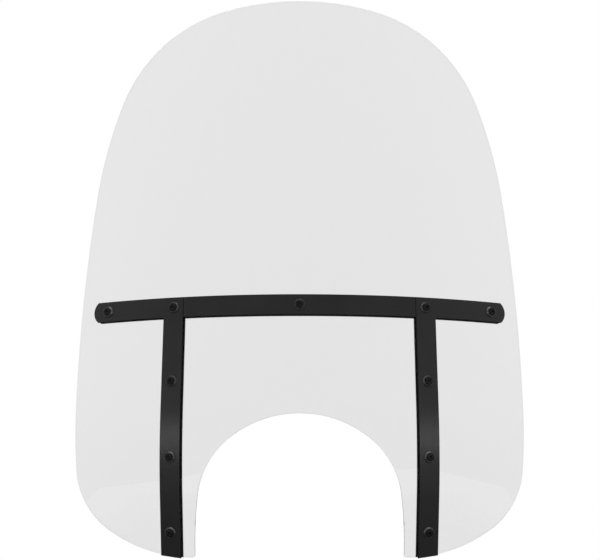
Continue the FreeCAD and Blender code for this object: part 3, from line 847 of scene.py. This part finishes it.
def cap_nut_rings():
    """A blind bore, the hexagon and a dome on it."""
    spring = -NUT_FACE - CAP_HEIGHT + DOME_RADIUS
    rings = [(NUT_BORE, -NUT_FACE - CAP_BORE_DEPTH), *nut_body(CAP_HEX),
             (DOME_RADIUS, -NUT_FACE - CAP_HEX), (DOME_RADIUS, spring)]
    for index in range(1, DOME_STEPS):
        turn = math.pi / 2 * index / DOME_STEPS
        rings.append((DOME_RADIUS * math.cos(turn), spring - DOME_RADIUS * math.sin(turn)))
    return [*rings, (DOME_POLE, -NUT_FACE - CAP_HEIGHT)]


def thin_nut_rings():
    """A hexagon with a bore right through it, chamfered at the outer end."""
    outer = -NUT_FACE - THIN_NUT
    return [*nut_body(THIN_NUT), (NUT_BORE + NUT_BORE_CHAMFER, outer),
            (NUT_BORE, outer + NUT_BORE_CHAMFER)]


def add_nut(name, place, cap):
    kind = "cap_nut" if cap else "thin_nut"
    rings = cap_nut_rings() if cap else thin_nut_rings()
    piece = ring_stack(f"{kind}_{name}_turned", rings, place, WASHER_STEEL, NUT_BEVEL,
                       closed=not cap)
    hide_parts(f"{kind}_{name}")


def add_rear_washers():
    """A flat washer under each nut; those of one side share a CAD node."""
    rings = [(WASHER_BORE, -NUT_FACE), (WASHER_RADIUS, -NUT_FACE),
             (WASHER_RADIUS, -NUT_FACE + WASHER), (WASHER_BORE, -NUT_FACE + WASHER)]
    for side_name in ("left", "center", "right"):
        spots = [item for item in PLACES if item[0].endswith(side_name)]
        for name, path, angle, _ in spots:
            ring_stack(f"rear_washer_{name}_turned", rings, place_at(path, angle),
                                     WASHER_STEEL, WASHER_BEVEL, closed=True)
        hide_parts(f"rear_washers_{side_name}")


def add_fasteners():
    """A screw, a cup washer, a flat washer and a nut at each place, and the bushings' material."""
    for name, path, angle, stud in PLACES:
        place = place_at(path, angle)
        add_screw(name, place, stud)
        add_cup_washer(name, place)
        add_nut(name, place, cap=not stud)
    add_rear_washers()
    for side_name in ("left", "center", "right"):
        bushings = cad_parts[f"hole_bushings_{side_name}"]
        for slot in bushings.material_slots:
            slot.material = NYLON


add_fasteners()

# ---------------------------------------------------------------- stage

# The part is held by its mount, so it hangs above the floor. The floor is a white table, turned a
# little, whose side edges are mirrored as two faint arches low in the bent sheet.
FLOOR_DROP = 0.4
TABLE_SIDE = 1.1
TABLE_FRONT, TABLE_REAR = -2.1, 1.1
TABLE_TURN = math.radians(10)
TABLE_SHIFT = -0.075
# (distance, level) pairs: the glow that keeps the table white to the eye, and the light that the
# part mirrors from it, which is dim under the part and bright towards the edges
TABLE_GLOW = (0.6, 0.5), (2.0, 0.73)
TABLE_SHINE = (1.0, 0.2), (1.22, 0.95)
# The room is dim. What the part mirrors of it grows to white along a direction, over a span.
ROOM_LEVEL = 0.25
ROOM_DIRECTION = (0, 1, 0.5)
ROOM_SPAN = -0.8, -0.2
CAMERA_DISTANCE, CAMERA_HEIGHT = 1050 * MM, 199 * MM
CAMERA_LENS, CAMERA_SENSOR = 58.88, 36
CAMERA_SHIFT = 0.0007
CAMERA_NEAREST = 0.05


def calculate(nodes, links, operation, first, second):
    """The result of an operation on two sockets, kept between 0 and 1."""
    node = nodes.new("ShaderNodeMath")
    node.operation = operation
    node.use_clamp = True
    links.new(first, node.inputs[0])
    links.new(second, node.inputs[1])
    return node.outputs["Value"]


def background_rays(nodes, links):
    """Two sockets: one is 1 for rays that meet the background from the camera or through the clear
    sheet, and one is 1 for mirrored rays. Both are 0 for the rays that light the object."""
    path = nodes.new("ShaderNodeLightPath")
    through = path.outputs["Is Transmission Ray"]
    seen = calculate(nodes, links, "MAXIMUM", path.outputs["Is Camera Ray"], through)
    return seen, calculate(nodes, links, "SUBTRACT", path.outputs["Is Glossy Ray"], through)


def pale_floor():
    """A pale floor that looks white where it's lit, and still takes the object's shadow."""
    material, nodes, links, shader = new_material("pale_floor")
    shader.inputs["Base Color"].default_value = (0.9, 0.9, 0.9, 1)
    shader.inputs["Roughness"].default_value = 0.9
    shader.inputs["Specular IOR Level"].default_value = 0.0
    place = nodes.new("ShaderNodeTexCoord")
    reach = nodes.new("ShaderNodeVectorMath")
    reach.operation = "LENGTH"
    links.new(place.outputs["Object"], reach.inputs[0])
    seen, shine = background_rays(nodes, links)
    glow, mirrored = nodes.new("ShaderNodeEmission"), nodes.new("ShaderNodeEmission")
    level = map_range(nodes, links, reach.outputs["Value"], *TABLE_GLOW)
    links.new(calculate(nodes, links, "MULTIPLY", seen, level), glow.inputs["Strength"])
    level = map_range(nodes, links, reach.outputs["Value"], *TABLE_SHINE)
    links.new(level, mirrored.inputs["Strength"])
    lit = nodes.new("ShaderNodeAddShader")
    links.new(shader.outputs["BSDF"], lit.inputs[0])
    links.new(glow.outputs["Emission"], lit.inputs[1])
    table = mix_shaders(nodes, links, shine, lit.outputs["Shader"], mirrored.outputs["Emission"])
    links.new(table, nodes["Material Output"].inputs["Surface"])
    return material


def add_floor():
    """The table: a flat rectangle, turned about the vertical."""
    middle = Vector((TABLE_SHIFT, 0, cad_box[0][2] - FLOOR_DROP))
    turn = Matrix.Rotation(TABLE_TURN, 3, "Z")
    corners = [middle + turn @ Vector((side * TABLE_SIDE, end, 0)) for side, end in (
        (-1, TABLE_FRONT), (1, TABLE_FRONT), (1, TABLE_REAR), (-1, TABLE_REAR))]
    data = bpy.data.meshes.new("floor")
    data.from_pydata(corners, [], [range(len(corners))])
    data.materials.append(pale_floor())
    piece = bpy.data.objects.new("floor", data)
    bpy.context.scene.collection.objects.link(piece)
    return piece


def add_world():
    """A white background, which the part also mirrors from behind and above, and a plain dim room
    that lights the part evenly."""
    world = bpy.data.worlds.new("studio")
    bpy.context.scene.world = world
    world.use_nodes = True
    nodes, links = world.node_tree.nodes, world.node_tree.links
    room = nodes["Background"]
    room.inputs["Color"].default_value = (1, 1, 1, 1)
    room.inputs["Strength"].default_value = ROOM_LEVEL
    white = nodes.new("ShaderNodeBackground")
    white.inputs["Color"].default_value = (1, 1, 1, 1)
    white.inputs["Strength"].default_value = 1.0
    direction = nodes.new("ShaderNodeTexCoord")
    along = nodes.new("ShaderNodeVectorMath")
    along.operation = "DOT_PRODUCT"
    along.inputs[1].default_value = ROOM_DIRECTION
    links.new(direction.outputs["Generated"], along.inputs[0])
    dim, bright = ROOM_SPAN
    share = map_range(nodes, links, along.outputs["Value"], (dim, 0), (bright, 1))
    seen, shine = background_rays(nodes, links)
    shine = calculate(nodes, links, "MULTIPLY", shine, share)
    background = mix_shaders(nodes, links, calculate(nodes, links, "MAXIMUM", seen, shine),
                             room.outputs["Background"], white.outputs["Background"])
    links.new(background, nodes["World Output"].inputs["Surface"])


def add_area(name, place, target, size, power):
    """A rectangular lamp at a place, aimed at a target, with its power in watts."""
    lamp = bpy.data.lights.new(name, "AREA")
    lamp.shape = "RECTANGLE"
    lamp.size, lamp.size_y = size
    lamp.energy = power
    holder = bpy.data.objects.new(name, lamp)
    bpy.context.scene.collection.objects.link(holder)
    holder.location = place
    holder.rotation_euler = (Vector(target) - Vector(place)).to_track_quat("-Z", "Y").to_euler()
    return holder


def keep_off(lamp, *pieces):
    """Keep a lamp off some pieces, as a flag does in a studio."""
    group = bpy.data.collections.new(lamp.name + "_flag")
    for number, piece in enumerate(pieces):
        group.objects.link(piece)
        group.collection_objects[number].light_linking.link_state = "EXCLUDE"
    lamp.light_linking.receiver_collection = group


def add_camera():
    """Straight ahead of the windshield, level, a little above the headlight bend."""
    camera = bpy.data.objects.new("camera", bpy.data.cameras.new("camera"))
    bpy.context.scene.collection.objects.link(camera)
    camera.location = Vector((0, -CAMERA_DISTANCE, CAMERA_HEIGHT)) + HOME
    camera.rotation_euler = (math.radians(90), 0, 0)
    camera.data.lens = CAMERA_LENS
    camera.data.sensor_width = CAMERA_SENSOR
    camera.data.shift_x = CAMERA_SHIFT
    camera.data.clip_start = CAMERA_NEAREST
    bpy.context.scene.camera = camera


floor = add_floor()
add_world()
add_area("top_softbox", place=(0, 0, 1.9), target=(0, 0, 0.2), size=(2.4, 1.6), power=20)
front_softbox = add_area("front_softbox", place=(0, -2.1, 0.2), target=(0, 0, 0.02),
                         size=(6.4, 0.36), power=42)
keep_off(front_softbox, clear_sheet, floor)
add_camera()
bpy.context.scene.view_settings.view_transform = "Standard"
